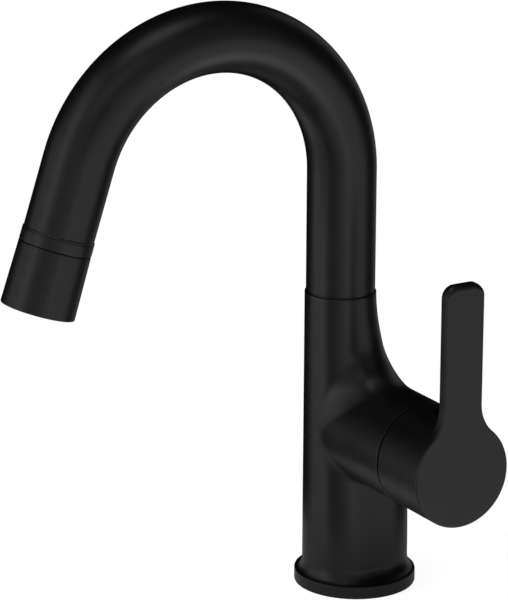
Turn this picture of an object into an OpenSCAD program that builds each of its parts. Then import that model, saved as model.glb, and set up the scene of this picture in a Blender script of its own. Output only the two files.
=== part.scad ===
// Single-lever basin mixer tap with a swivelling gooseneck spout.
// Millimetres, +Z up. The origin is the centre of the flange's underside, which sits on the basin.
// The spout points along -Y and the side housing with its lever along +X.

/* [Base flange and column] */
// Diameter of the round flange that sits on the basin
flange_d = 50; // [48:0.5:56]
// Height of the flange's upright edge
flange_h = 5.2; // [4:0.1:7]
// Height of the hollow curve from the flange's edge up to the column
cove_h = 5.6; // [4:0.1:8]
// Radius of the column's rounded front and back
column_r = 18.1; // [17:0.1:19]
// Distance from the centre line to the centres of those two rounds
column_offset = 4.3; // [3:0.1:5]
// Height of the top of the body, where the spout turns
neck_z = 126.1; // [122:0.1:130]
// How far the round neck stands out from the spout tube
neck_step = 0.5; // [0.3:0.05:1]
// Distance of the spout's turning axis in front of the centre line
spout_offset = 8.4; // [7:0.1:9]
// Height over which the back of the body runs out from the neck
back_run = 73; // [65:1:80]
// Height over which the sides of the body run out from the neck
side_run = 110; // [95:1:115]

/* [Side housing] */
// Height of the lever's turning axis
housing_z = 69.1; // [67:0.1:71]
// Radius of the side housing and of the lever's hub
housing_r = 21.5; // [21:0.1:22.5]
// Distance from the centre line to the housing's end face
housing_end = 49.1; // [48.6:0.1:50]
// Radius of the large fillet over the housing
fillet_top = 16.2; // [13:0.1:18]
// Radius of the small fillet under the housing
fillet_under = 1.5; // [1:0.1:3]

/* [Lever] */
// Distance from the centre line to the hub's flat face
hub_face = 78; // [76:0.1:82]
// Distance from the centre line to the pin that the lever tilts on
pivot_x = 40; // [39:0.1:41]
// Running gap between the housing's end and the hub's hollow rim
rim_gap = 0.35; // [0.3:0.05:0.5]
// Width of the lever's blade
blade_w = 17.7; // [14:0.1:19]
// Thickness of the lever's blade
blade_t = 3.8; // [3:0.1:5]
// Height of the blade's top above the hub's axis
blade_h = 78.2; // [60:0.1:100]
// Radius of the blade's top corners
blade_corner = 4.3; // [1:0.1:6]
// Radius of the hollow curves from the blade to its round plate
blade_fillet = 16.3; // [10:0.1:18]
// Metal between the hub's hollow and the grub screw's hole
grub_wall = 2; // [1.5:0.1:3]
// Outer diameter of the grub screw
grub_d = 5; // [4:0.5:6]

/* [Spout] */
// Outer diameter of the spout tube
tube_d = 28; // [26:0.1:29]
// Wall of the spout tube
tube_wall = 1.2; // [1:0.1:1.5]
// Height where the bend of the spout starts
bend_z = 176.4; // [165:0.1:220]
// Radius of the bend at the middle of the tube
bend_r = 60.8; // [50:0.1:70]
// Angle that the bend turns through
bend_angle = 161.8; // [150:0.1:175]
// Length of the straight run from the bend to the outlet ring
outlet_run = 28.9; // [25:0.1:40]
// Length of the outlet ring that shows
ring_l = 5.5; // [5:0.1:8]
// Length of the outlet sleeve
sleeve_l = 25.4; // [22:0.1:30]
// How far the outlet ring stands out from the tube
ring_step = 0.35; // [0.2:0.05:1]
// How much wider the sleeve's radius is at its mouth
sleeve_flare = 0.45; // [0:0.05:1]
// Turn of the spout to each side
spout_turn = 60; // [30:1:70]

/* [Swivel joint] */
// Wall of the brass foot between the nipple and the spout tube
foot_wall = 1.8; // [1.6:0.1:2.2]
// Radius of the nipple's waterway
nipple_bore = 6; // [5:0.1:7]
// Length of the nipple above the body
nipple_l = 26; // [24:0.1:32]
// Length of the nipple's thread in the body
nipple_thread = 17; // [14:0.1:20]
// Thickness of the slide ring under the spout
slide_t = 0.6; // [0.4:0.1:1]
// Thickness of the swivel's rubber rings
o_ring_t = 1.7; // [1.5:0.1:2]
// Diameter of the stop pin
stop_d = 2.4; // [2:0.1:3]

/* [Cartridge] */
// Diameter of the ceramic cartridge
cartridge_d = 35; // [34:0.1:35.4]
// Depth of the cartridge's chamber behind the housing's end
chamber_l = 40.1; // [39.5:0.1:40.5]
// Radius of the hot and cold waterways
inlet_bore = 3.4; // [3:0.1:4]
// Distance from the middle to each inlet
inlet_offset = 8.5; // [8:0.1:9]
// Distance of the inlets above the cartridge's axis
inlet_rise = 7; // [6.5:0.1:7.4]
// Radius of the mixed water's port
outlet_bore = 3.4; // [3:0.1:3.6]
// Distance of the mixed water's port below the cartridge's axis
outlet_drop = 9.2; // [8.8:0.1:9.6]
// Thickness of the cartridge's base
base_t = 4; // [3.5:0.1:5]
// Thickness of each ceramic disc
disc_t = 4; // [3.5:0.1:4.5]
// Radius of the fixed ceramic disc
fixed_disc_r = 15.6; // [15:0.1:15.8]
// Radius of the moving ceramic disc
moving_disc_r = 13; // [12.4:0.1:13.1]
// Side of the lever stem's square end
stem_side = 8; // [7:0.1:8.5]
// Radius of the ball at the stem's inner end
stem_ball_r = 2.6; // [2:0.1:3]
// Distance from the stem's pin to the middle of its ball
stem_reach = 14; // [13.5:0.1:14.4]
// Radius of the pin that the stem tilts on
pin_r = 1.5; // [1.2:0.1:2]
// Radius of the carrier's neck
carrier_neck_r = 12.2; // [12:0.1:12.6]
// Largest tilt of the lever
lever_tilt = 20; // [10:1:21]

/* [Base fittings] */
// Bore radius of the M10 hose threads
hose_thread_r = 4.5; // [4:0.1:4.7]
// Depth of the hose threads
hose_thread_l = 14; // [10:0.5:18]
// Distance of the hose threads from the middle, away from the lever
hose_x = 9; // [8.6:0.1:9.4]
// Bore radius of the M8 stud thread
stud_r = 3.4; // [3:0.1:4]
// Depth of the stud thread
stud_l = 18; // [12:0.5:25]
// Distance of the stud from the centre line, towards the lever
stud_x = 10; // [9:0.1:11]
// Thickness of the sealing ring under the flange
gasket_t = 2.2; // [1.6:0.1:3]

/* [Fits] */
// Running clearance of turning and sliding fits
run_gap = 0.08; // [0.05:0.01:0.1]
// Clearance of pieces that are fastened in place
seat_gap = 0.05; // [0.02:0.01:0.1]

/* [Hidden] */
$fn = 64;
eps = 0.01;
matt_black = "#2d2d2d";
brass = "#b5975a";
rubber = "#1c1c1c";

// Heights and places that follow from the driving sizes
spout_y = -spout_offset;
tube_r = tube_d / 2;
tube_in = tube_r - tube_wall;
neck_r = tube_r + neck_step;
tube_foot = neck_z + slide_t + seat_gap;
bend_y = spout_y - bend_r;
ring_start = outlet_run;
ring_r = tube_r + ring_step;
sleeve_gap = 0.2;
sleeve_start = ring_start + ring_l + sleeve_gap;
nipple_r = tube_in - seat_gap - foot_wall - run_gap;
chamber_r = cartridge_d / 2 + seat_gap;
chamber_floor = housing_end - chamber_l;
rim_r = sqrt(pow(housing_end - pivot_x, 2) + pow(housing_r, 2));
hub_hollow_r = rim_r + rim_gap;
hose_top = housing_z + inlet_rise;

module on_housing_axis(x = 0) {
    translate([x, 0, housing_z]) rotate([0, 90, 0]) children();
}

module on_spout_axis(z = 0) {
    translate([0, spout_y, z]) children();
}

// Places children along the outlet's centre line, with +Z the way the water leaves
module on_outlet(s = 0) {
    translate([0, bend_y, bend_z]) rotate([bend_angle, 0, 0]) translate([0, bend_r, s]) children();
}

module ring(r_out, r_in, h) {
    difference() {
        cylinder(r = r_out, h = h);
        translate([0, 0, -1]) cylinder(r = r_in, h = h + 2);
    }
}

// Smooth step from 0 to 1
function ease(t) = let (u = min(max(t, 0), 1)) u * u * (3 - 2 * u);

// Radius of the column and the middles of its front and back rounds, at a height
function side_share(z) = ease((neck_z - z) / side_run);
function round_r(z) = neck_r + (column_r - neck_r) * side_share(z);
function front_y(z) = spout_y + (spout_offset - column_offset) * side_share(z);
function back_y(z) =
    max(front_y(z), spout_y + (spout_offset + column_offset) * ease((neck_z - z) / back_run));

// The skin lies this far inside the turned ends that it runs into
skin_inset = 0.04;

// Vector from the column's middle line to a point at the same height
function from_column(p) = [p.x, p.y - min(max(p.y, front_y(p.z)), back_y(p.z))];
function column_gap(p) = norm(from_column(p)) - round_r(p.z);

// Vector from the side housing's axis to a point
function from_housing(p) = [p.y, p.z - housing_z];
function housing_gap(p) = norm(from_housing(p)) - housing_r + skin_inset;

// How far the two walls face the same way, from 0 at a right angle to 1 side by side
function facing(p) =
    max(0, from_column(p)[1] * from_housing(p)[0] / norm(from_column(p)) / norm(from_housing(p)));

// Two walls joined by a fillet
function filleted(a, b, r) = max(r, min(a, b)) - norm([max(r - a, 0), max(r - b, 0)]);

// The fillet grows from the housing's underside to its top, and shrinks to nothing where
// the walls run side by side, so they don't swell there
function fillet_at(p) = let (rise = (p.z - housing_z) / norm(from_housing(p)))
    max(eps, (fillet_under + (fillet_top - fillet_under) * (1 + rise) / 2) * (1 - facing(p)));

// Distance from the body's outer skin, below zero inside
function skin_gap(p) = p.x <= 0 ? column_gap(p)
    : filleted(column_gap(p), housing_gap(p), fillet_at(p));

// Distance along a ray at which it leaves the column or the skin, by bisection
function column_reach(o, d, near, far, left) = let (mid = (near + far) / 2)
    left == 0 ? mid
    : column_gap(o + mid * d) < 0 ? column_reach(o, d, mid, far, left - 1)
    : column_reach(o, d, near, mid, left - 1);
function skin_reach(o, d, near, far, left) = let (mid = (near + far) / 2)
    left == 0 ? mid
    : skin_gap(o + mid * d) < 0 ? skin_reach(o, d, mid, far, left - 1)
    : skin_reach(o, d, near, mid, left - 1);

skin_sides = 60;
skin_steps = 22;
skin_middle = [0, 0, housing_z];
skin_far_x = 60;
skin_end_x = housing_end - 5;
skin_lap = 2.5;
skin_top = neck_z - 0.6;
skin_foot = 1.2;
neck_band = 3;
neck_inset = 0.06;
cove_top = flange_h + cove_h;
cove_rim_r = flange_d / 2 - 0.3;

// Distance from the centre line to the column's wall, in one direction at one height
function wall_at(angle, z) =
    column_reach([0, 0, z], [cos(angle), sin(angle), 0], 0, flange_d, skin_steps);

// A point of the skin: the ray from the middle through the column's wall, followed to the skin
function skin_point(angle, z) = let (
    wall = [wall_at(angle, z) * cos(angle), wall_at(angle, z) * sin(angle), z],
    ray = wall - skin_middle,
    far = cos(angle) > eps ? min(8, skin_far_x / ray.x) : 2)
    skin_middle + ray * (far <= 1 ? 1 : skin_reach(skin_middle, ray, 1 - eps / 10, far, skin_steps));

// A point of the hollow curve from the flange's edge, at 0, to the column, at 90
function cove_point(angle, turn) = let (
    inner = wall_at(angle, cove_top),
    r = inner + (cove_rim_r - inner) * (1 - sin(turn)))
    [r * cos(angle), r * sin(angle), flange_h + cove_h * (1 - cos(turn))];

module body_skin() {
    angles = [for (i = [0 : skin_sides - 1]) i * 360 / skin_sides];
    band = housing_r + 0.5;
    heights = concat(
        [for (z = [cove_top + 10 : 11 : housing_z - band - 3]) z],
        [for (k = [-10 : 10]) housing_z + band * k / 10],
        [for (k = [1 : 8]) housing_z + band + (skin_top - housing_z - band) * k / 8]);
    skin_rings = concat(
        [[for (a = angles) [cove_rim_r * cos(a), cove_rim_r * sin(a), flange_h - skin_foot]]],
        [for (turn = [0 : 18 : 90]) [for (a = angles) cove_point(a, turn)]],
        [for (z = heights) [for (a = angles) skin_point(a, z)]]);
    rings = len(skin_rings);
    points = [for (r = skin_rings) each r];
    sides = [for (k = [0 : rings - 2], i = [0 : skin_sides - 1])
        let (j = (i + 1) % skin_sides, a = k * skin_sides, b = a + skin_sides)
        each [[a + i, b + i, b + j], [a + i, b + j, a + j]]];
    ends = [[for (i = [0 : skin_sides - 1]) i],
        [for (i = [skin_sides - 1 : -1 : 0]) (rings - 1) * skin_sides + i]];
    polyhedron(points, concat(sides, ends), convexity = 4);
}

// Hub's inner boss round the stem, the grub screw in it and the plug over the screw
plug_l = 3.5;
plug_sink = 1;
plug_gap = 3;
plug_in = housing_r - plug_sink - plug_l;
grub_x = pivot_x + sqrt(pow(hub_hollow_r, 2) - pow(plug_in, 2)) + grub_d / 2 + grub_wall;
grub_l = plug_in - plug_gap - stem_side / 2;
boss_r = 6.9;
boss_over = 4;

// Ports of the cartridge, seen along its axis as sideways and upward distances
inlet_ports = [[-inlet_offset, inlet_rise], [inlet_offset, inlet_rise]];
outlet_port = [0, -outlet_drop];
seal_t = 1;
seal_w = 1.3;
peg_r = 1.5;
peg_l = 2;
peg_gap = 0.2;
pegs = [[13, -5], [-11, -9]];
port_step = 0.3;

module at_port(p) {
    translate([-p[1], p[0], 0]) children();
}

// Depths along the housing's axis at which the cartridge's pieces start
base_x = chamber_floor + seal_t;
fixed_x = base_x + base_t;
moving_x = fixed_x + disc_t;
driver_x = moving_x + disc_t;
ball_x = pivot_x - stem_reach;
ball_proud = 0.6;
driver_l = ball_x + stem_ball_r - ball_proud - driver_x;
carrier_gap = 0.4;
carrier_x = driver_x + driver_l + carrier_gap;
nut_ahead = 1;
nut_x = pivot_x + nut_ahead;
nut_l = 6;
nut_r = 19;
shell_front = 4.6;
shell_wall_x = nut_x - shell_front;
shell_in = fixed_disc_r + 2 * seat_gap;
disc_drop = stem_reach * sin(lever_tilt) / 2;
neck_end = nut_x + nut_l - 2;
cap_x = nut_x + nut_l;
cap_gap = 0.5;
cap_opening = rim_r * sin(lever_tilt) + boss_r * cos(lever_tilt) + cap_gap;
carrier_disc_r = shell_in - run_gap;

// The mixed water climbs between the inlets, then crosses to the spout's axis
cross_rise = 20;
cross_z = housing_z + cross_rise;
climb_step = 1.5;

module mixer_body() {
    color(matt_black) difference() {
        union() {
            cylinder(r = flange_d / 2, h = flange_h, $fn = 96);
            intersection() {
                body_skin();
                translate([-flange_d, -flange_d, 0])
                    cube([flange_d + skin_end_x + skin_lap, 2 * flange_d, neck_z]);
            }
            on_housing_axis(skin_end_x) cylinder(r = housing_r, h = housing_end - skin_end_x, $fn = 96);
            on_spout_axis(neck_z - neck_band) cylinder(r = neck_r - neck_inset, h = neck_band);
        }
        // Cartridge chamber, with the wider thread of its nut
        on_housing_axis(chamber_floor) cylinder(r = chamber_r, h = chamber_l + 1);
        on_housing_axis(nut_x) cylinder(r = nut_r + seat_gap, h = housing_end - nut_x + 1);
        on_housing_axis(chamber_floor - peg_l - peg_gap) for (p = pegs)
            at_port(p) cylinder(r = peg_r + seat_gap, h = peg_l + 1, $fn = 32);
        // Hot and cold waterways, up from the hoses and across to the cartridge
        for (p = inlet_ports) {
            translate([-hose_x, p[0], 0]) cylinder(r = inlet_bore, h = hose_top, $fn = 32);
            translate([-hose_x, p[0], -1]) cylinder(r = hose_thread_r, h = hose_thread_l + 1, $fn = 48);
            on_housing_axis(-hose_x) at_port(p)
                cylinder(r = inlet_bore, h = chamber_floor + hose_x + 1, $fn = 32);
        }
        // Mixed water's way to the spout, and the nipple's thread
        on_housing_axis(0) at_port(outlet_port) cylinder(r = outlet_bore, h = chamber_floor + 1, $fn = 32);
        translate([0, 0, housing_z - outlet_drop])
            cylinder(r = outlet_bore, h = cross_rise + outlet_drop, $fn = 32);
        on_spout_axis(cross_z) rotate([-90, 0, 0]) cylinder(r = outlet_bore, h = spout_offset, $fn = 32);
        on_spout_axis(cross_z) cylinder(r = nipple_bore - climb_step, h = neck_z);
        on_spout_axis(neck_z - nipple_thread - thread_gap)
            cylinder(r = nipple_r - shoulder, h = nipple_thread + thread_gap + 1);
        translate([stud_x, 0, -1]) cylinder(r = stud_r, h = stud_l + 1, $fn = 48);
        translate([0, 0, -1]) gasket_ring(seat_gap, 1);
    }
}

gasket_in = 1.6;
gasket_w = 2.8;

module gasket_ring(grow, extra) {
    r = flange_d / 2 - gasket_in;
    ring(r + grow, r - gasket_w - grow, gasket_t + grow + extra);
}

module base_gasket() {
    color(rubber) gasket_ring(0, 0);
}

// Heights on the nipple of its two rubber rings, its stop pin and its clip
o_ring_heights = [12, 19];
stop_rise = 3;
stop_out = 1.3;
clip_t = 1;
clip_depth = 0.9;
clip_w = 1.9;
clip_rise = nipple_l - clip_t - clip_depth;
clip_play = 0.1;
foot_l = clip_rise - clip_play - slide_t - seat_gap;
o_ring_squash = 0.06;
o_ring_room = 1.3;
groove_r = nipple_r + run_gap - o_ring_t - o_ring_squash;
clip_groove_r = nipple_r - clip_depth;
shoulder = 1;
thread_gap = 1;

module swivel_nipple() {
    color(brass) on_spout_axis(neck_z) difference() {
        union() {
            translate([0, 0, -nipple_thread])
                cylinder(r = nipple_r - shoulder - seat_gap, h = nipple_thread + 1);
            cylinder(r = nipple_r, h = nipple_l);
        }
        translate([0, 0, -nipple_thread - 1]) cylinder(r = nipple_bore, h = nipple_thread + nipple_l + 2);
        for (z = o_ring_heights) translate([0, 0, z - o_ring_t * o_ring_room / 2])
            ring(nipple_r + 1, groove_r, o_ring_t * o_ring_room);
        translate([0, 0, clip_rise - clip_play]) ring(nipple_r + 1, clip_groove_r, clip_t + 2 * clip_play);
        translate([0, 0, stop_rise]) rotate([-90, 0, 0]) cylinder(r = stop_d / 2, h = nipple_r + 1, $fn = 32);
    }
}

module spout_o_rings() {
    color(rubber) on_spout_axis(neck_z) for (z = o_ring_heights) translate([0, 0, z])
        rotate_extrude($fn = 64) translate([groove_r + o_ring_squash / 2 + o_ring_t / 2, 0])
            circle(r = o_ring_t / 2, $fn = 24);
}

slide_in = 0.3;

module slide_ring() {
    color(rubber) on_spout_axis(neck_z)
        ring(tube_r - slide_in, nipple_r + slide_in, slide_t);
}

stop_in = 0.4;
pin_gap = 0.02;

module stop_pin() {
    color("silver") on_spout_axis(neck_z + stop_rise) rotate([-90, 0, 0])
        translate([0, 0, nipple_bore + stop_in])
            cylinder(r = stop_d / 2 - pin_gap, h = nipple_r - nipple_bore - stop_in + stop_out, $fn = 32);
}

// Angle of the snap ring's open part
clip_open = 40;

module spout_clip() {
    color("silver") on_spout_axis(neck_z + clip_rise) rotate([0, 0, 90 + clip_open / 2])
        rotate_extrude(angle = 360 - clip_open)
            translate([clip_groove_r + seat_gap, 0]) square([clip_w, clip_t]);
}

module bend(r, over) {
    translate([0, bend_y, bend_z]) rotate([90, 0, 90]) rotate([0, 0, -over])
        rotate_extrude(angle = bend_angle + 2 * over) translate([bend_r, 0]) circle(r = r);
}

// The straight legs lap the bend's ends by this much, a hair thicker
leg_lap = 0.5;
leg_step = 0.02;

module spout_tube() {
    color(matt_black) {
        on_spout_axis(tube_foot) ring(tube_r + leg_step, tube_in - leg_step, bend_z - tube_foot + leg_lap);
        difference() {
            bend(tube_r, 0);
            bend(tube_in, 1);
        }
        on_outlet(-leg_lap) ring(tube_r + leg_step, tube_in - leg_step, outlet_run + leg_lap);
    }
}

// Turning foot fixed inside the tube, with an open slot that the stop pin runs in
slot_gap = 0.15;
slot_r = nipple_r + stop_out + slot_gap;
slot_half = spout_turn + asin((stop_d / 2 + seat_gap) / nipple_r);
slot_over = 0.6;

module spout_foot() {
    color(brass) on_spout_axis(tube_foot) difference() {
        cylinder(r = tube_in - seat_gap, h = foot_l);
        translate([0, 0, -1]) cylinder(r = nipple_r + run_gap, h = foot_l + 2);
        translate([0, 0, -1]) rotate([0, 0, 90 - slot_half]) rotate_extrude(angle = 2 * slot_half)
            translate([nipple_r - 1, 0]) square([slot_r - nipple_r + 1, stop_rise + stop_d / 2 + slot_over]);
    }
}

spigot_l = 6;
spigot_wall = 2.4;
spigot_bore = tube_in - spigot_wall;
thread_r = tube_in - 0.1;

module outlet_ring() {
    color(matt_black) on_outlet(ring_start) difference() {
        union() {
            cylinder(r = ring_r, h = ring_l);
            translate([0, 0, -spigot_l]) cylinder(r = tube_in - seat_gap, h = spigot_l + 1);
            cylinder(r = thread_r, h = ring_l + spigot_l);
        }
        translate([0, 0, -spigot_l - 1]) cylinder(r = spigot_bore, h = ring_l + 2 * spigot_l + 2);
    }
}

aerator_step = 0.7;
aerator_r = thread_r - aerator_step;
aerator_l = 11;
aerator_wall = 2;
aerator_sink = 1.2;
aerator_seal_t = 1.5;
aerator_up = sleeve_l - aerator_sink - aerator_l;
sleeve_lip = 1.8;
seal_lap = 0.8;

module outlet_sleeve() {
    color(matt_black) on_outlet(sleeve_start) difference() {
        cylinder(r1 = ring_r, r2 = ring_r + sleeve_flare, h = sleeve_l);
        translate([0, 0, -1]) cylinder(r = thread_r + seat_gap, h = spigot_l + 1 + 2 * sleeve_gap);
        translate([0, 0, -1]) cylinder(r = aerator_r - sleeve_lip, h = sleeve_l);
        translate([0, 0, aerator_up - aerator_seal_t]) cylinder(r = aerator_r + seat_gap, h = sleeve_l);
    }
}

module aerator_seal() {
    color(rubber) on_outlet(sleeve_start + aerator_up - aerator_seal_t)
        ring(aerator_r - 2 * seat_gap, aerator_r - sleeve_lip - seal_lap, aerator_seal_t);
}

cell_r = 0.9;
cell_pitch = 2.6;
face_t = 2;

module aerator_body() {
    color("dimgray") on_outlet(sleeve_start + aerator_up) difference() {
        cylinder(r = aerator_r, h = aerator_l);
        translate([0, 0, -1]) cylinder(r = aerator_r - aerator_wall, h = aerator_l - face_t + 1);
        for (row = [-3 : 3], k = [-3 : 3])
            let (x = (k + (abs(row) % 2) / 2) * cell_pitch, y = row * cell_pitch * sin(60))
                if (norm([x, y]) < aerator_r - aerator_wall - 1.5 * cell_r)
                    translate([x, y, aerator_l - face_t - 1]) cylinder(r = cell_r, h = face_t + 2, $fn = 16);
    }
}

screen_t = 0.8;
screen_down = 2;
screen_r = aerator_r - aerator_wall - seat_gap;
screen_pitch = screen_r * 0.3;
screen_hole_r = 0.7;

module aerator_screen() {
    color("silver") on_outlet(sleeve_start + aerator_up + screen_down) difference() {
        cylinder(r = screen_r, h = screen_t);
        for (x = [-2 : 2], y = [-2 : 2])
            translate([x * screen_pitch, y * screen_pitch, -1])
                cylinder(r = screen_hole_r, h = screen_t + 2, $fn = 16);
    }
}

module port_seals() {
    color(rubber) on_housing_axis(chamber_floor) {
        for (p = inlet_ports) at_port(p) ring(inlet_bore + seal_w, inlet_bore, seal_t);
        at_port(outlet_port) ring(outlet_bore + seal_w, outlet_bore, seal_t);
    }
}

module cartridge_base() {
    color("dimgray") on_housing_axis(base_x) difference() {
        union() {
            cylinder(r = cartridge_d / 2, h = base_t);
            for (p = pegs) at_port(p) translate([0, 0, -seal_t - peg_l])
                cylinder(r = peg_r, h = seal_t + peg_l + 1, $fn = 32);
        }
        for (p = inlet_ports) at_port(p) translate([0, 0, -1])
            cylinder(r = inlet_bore - port_step, h = base_t + 2);
        at_port(outlet_port) translate([0, 0, -1]) cylinder(r = outlet_bore - port_step, h = base_t + 2);
    }
}

seal_x = (shell_wall_x + nut_x) / 2;
seal_section = 1.6;
seal_groove = 2;
seal_groove_r = carrier_neck_r + run_gap + seal_section + seat_gap;

module cartridge_housing() {
    shell_l = nut_x - fixed_x;
    color("gainsboro") on_housing_axis(fixed_x) difference() {
        cylinder(r = cartridge_d / 2, h = shell_l);
        translate([0, 0, -1]) cylinder(r = shell_in, h = shell_wall_x - fixed_x + 1);
        cylinder(r = carrier_neck_r + run_gap, h = shell_l + 1);
        translate([0, 0, seal_x - fixed_x - seal_groove / 2]) cylinder(r = seal_groove_r, h = seal_groove);
    }
}

module fixed_disc() {
    color("whitesmoke") on_housing_axis(fixed_x) difference() {
        cylinder(r = fixed_disc_r, h = disc_t);
        for (p = inlet_ports) at_port(p) translate([0, 0, -1])
            cylinder(r = inlet_bore - port_step, h = disc_t + 2);
        at_port(outlet_port) translate([0, 0, -1]) cylinder(r = outlet_bore - port_step, h = disc_t + 2);
    }
}

// The moving disc has a blind hollow in which hot and cold water mix
mix_r = 9.2;
mix_drop = 1.2;

module moving_disc() {
    color("white") on_housing_axis(moving_x) translate([disc_drop, 0, 0]) difference() {
        cylinder(r = moving_disc_r, h = disc_t);
        translate([mix_drop, 0, -1]) cylinder(r = mix_r, h = disc_t / 2 + 1);
    }
}

ball_gap = 0.12;
driver_floor = 0.8;

module disc_driver() {
    slot = 2 * (stem_ball_r + ball_gap);
    color("dimgray") on_housing_axis(driver_x) difference() {
        translate([disc_drop, 0, 0]) cylinder(r = moving_disc_r - carrier_gap, h = driver_l);
        translate([-slot / 2, -slot / 2, driver_floor]) cube([slot, slot, driver_l]);
    }
}

// Half the height of the carrier's slot, in which the stem swings
slot_spare = 1;
carrier_slot = stem_reach * sin(lever_tilt) + stem_ball_r + slot_spare;

module stem_carrier() {
    color("dimgray") difference() {
        union() {
            on_housing_axis(carrier_x) cylinder(r = carrier_disc_r, h = shell_wall_x - carrier_x - run_gap);
            on_housing_axis(carrier_x) cylinder(r = carrier_neck_r, h = neck_end - carrier_x);
        }
        translate([carrier_x - 1, -stem_side / 2 - run_gap, housing_z - carrier_slot])
            cube([neck_end - carrier_x + 2, stem_side + 2 * run_gap, 2 * carrier_slot]);
        translate([pivot_x, 0, housing_z]) rotate([90, 0, 0])
            cylinder(r = pin_r + pin_gap, h = 4 * carrier_neck_r, center = true, $fn = 32);
    }
}

module carrier_seal() {
    color(rubber) on_housing_axis(seal_x) rotate_extrude($fn = 64)
        translate([carrier_neck_r + run_gap + seal_section / 2, 0]) circle(r = seal_section / 2, $fn = 24);
}

pin_in = 1;

module pivot_pin() {
    color("silver") translate([pivot_x, 0, housing_z]) rotate([90, 0, 0])
        cylinder(r = pin_r, h = 2 * (carrier_neck_r - pin_in), center = true, $fn = 32);
}

socket_floor = 0.3;
stem_end = hub_face - blade_t - 2 * socket_floor;
socket_gap = 0.1;
arm_r = 2;
eye_x = pivot_x - 5;

module lever_stem() {
    color(brass) difference() {
        union() {
            translate([ball_x, 0, housing_z]) sphere(r = stem_ball_r, $fn = 32);
            on_housing_axis(ball_x) cylinder(r = arm_r, h = pivot_x - ball_x, $fn = 32);
            translate([eye_x, -stem_side / 2, housing_z - stem_side / 2])
                cube([stem_end - eye_x, stem_side, stem_side]);
        }
        translate([pivot_x, 0, housing_z]) rotate([90, 0, 0])
            cylinder(r = pin_r + seat_gap, h = 2 * stem_side, center = true, $fn = 32);
    }
}

key_w = 3;
key_depth = 2;

module retaining_nut() {
    color(brass) on_housing_axis(nut_x) difference() {
        ring(nut_r, cap_opening, nut_l);
        for (a = [0, 90]) rotate([0, 0, a]) translate([-key_w / 2, -nut_r, nut_l - key_depth])
            cube([key_w, 2 * nut_r, key_depth + 1]);
    }
}

// Domed cover over the nut, round the point that the lever tilts about
cap_wall = 1.6;

module housing_cap() {
    edge_r = nut_r - seat_gap;
    color(matt_black) on_housing_axis(pivot_x) rotate_extrude($fn = 96) difference() {
        intersection() {
            circle(r = rim_r);
            translate([cap_opening, cap_x - pivot_x]) square([edge_r - cap_opening, housing_r]);
        }
        intersection() {
            circle(r = rim_r - cap_wall);
            translate([0, cap_x - pivot_x - 1]) square([edge_r - cap_wall, housing_r]);
        }
    }
}

module on_lever_face(x) {
    translate([x, 0, housing_z]) rotate([90, 0, 90]) children();
}

// Half the blade's outline: from inside the round plate, along the hollow curve, up and over
blade_half = blade_w / 2;
fillet_y = sqrt(pow(housing_r + blade_fillet, 2) - pow(blade_half + blade_fillet, 2));
fillet_low = asin(fillet_y / (housing_r + blade_fillet));
plate_in = housing_r - 0.4;
half_outline = concat(
    [[housing_r / 2, 0], [plate_in * cos(fillet_low), plate_in * sin(fillet_low)]],
    [for (k = [1 : 12]) let (a = 180 + fillet_low * (1 - k / 12))
        [blade_half + blade_fillet + blade_fillet * cos(a), fillet_y + blade_fillet * sin(a)]],
    [for (k = [0 : 8]) let (a = 90 * k / 8)
        [blade_half - blade_corner + blade_corner * cos(a), blade_h - blade_corner + blade_corner * sin(a)]]);

module lever_blade() {
    other_half = [for (i = [len(half_outline) - 1 : -1 : 0]) [-half_outline[i].x, half_outline[i].y]];
    on_lever_face(hub_face - blade_t) linear_extrude(blade_t) polygon(concat(half_outline, other_half));
}

module lever_handle() {
    color(matt_black) difference() {
        union() {
            on_housing_axis(pivot_x) rotate_extrude($fn = 96) difference() {
                square([housing_r, hub_face - pivot_x]);
                circle(r = hub_hollow_r);
            }
            on_housing_axis(grub_x - boss_over)
                cylinder(r = boss_r, h = hub_face - blade_t - grub_x + boss_over);
            lever_blade();
        }
        translate([pivot_x, -stem_side / 2 - socket_gap, housing_z - stem_side / 2 - socket_gap])
            cube([stem_end + socket_floor - pivot_x, stem_side + 2 * socket_gap, stem_side + 2 * socket_gap]);
        translate([grub_x, 0, housing_z]) cylinder(r = grub_d / 2, h = housing_r + 1, $fn = 32);
    }
}

key_deep = 2.5;
key_r = 0.29 * grub_d;

module grub_screw() {
    color("silver") translate([grub_x, 0, housing_z + stem_side / 2 + pin_gap]) difference() {
        cylinder(r = grub_d / 2 - pin_gap, h = grub_l, $fn = 32);
        translate([0, 0, grub_l - key_deep]) cylinder(r = key_r, h = key_deep + 1, $fn = 6);
    }
}

module screw_plug() {
    color(matt_black) translate([grub_x, 0, housing_z + plug_in])
        cylinder(r = grub_d / 2 - pin_gap, h = plug_l, $fn = 32);
}

mixer_body();
base_gasket();
swivel_nipple();
spout_o_rings();
slide_ring();
stop_pin();
spout_clip();
spout_tube();
spout_foot();
outlet_ring();
outlet_sleeve();
aerator_seal();
aerator_body();
aerator_screen();
port_seals();
cartridge_base();
cartridge_housing();
fixed_disc();
moving_disc();
disc_driver();
stem_carrier();
carrier_seal();
pivot_pin();
lever_stem();
retaining_nut();
housing_cap();
lever_handle();
grub_screw();
screw_plug();
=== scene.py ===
import math

import bmesh
import bpy
import numpy as np
from mathutils import Matrix, Vector


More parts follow.
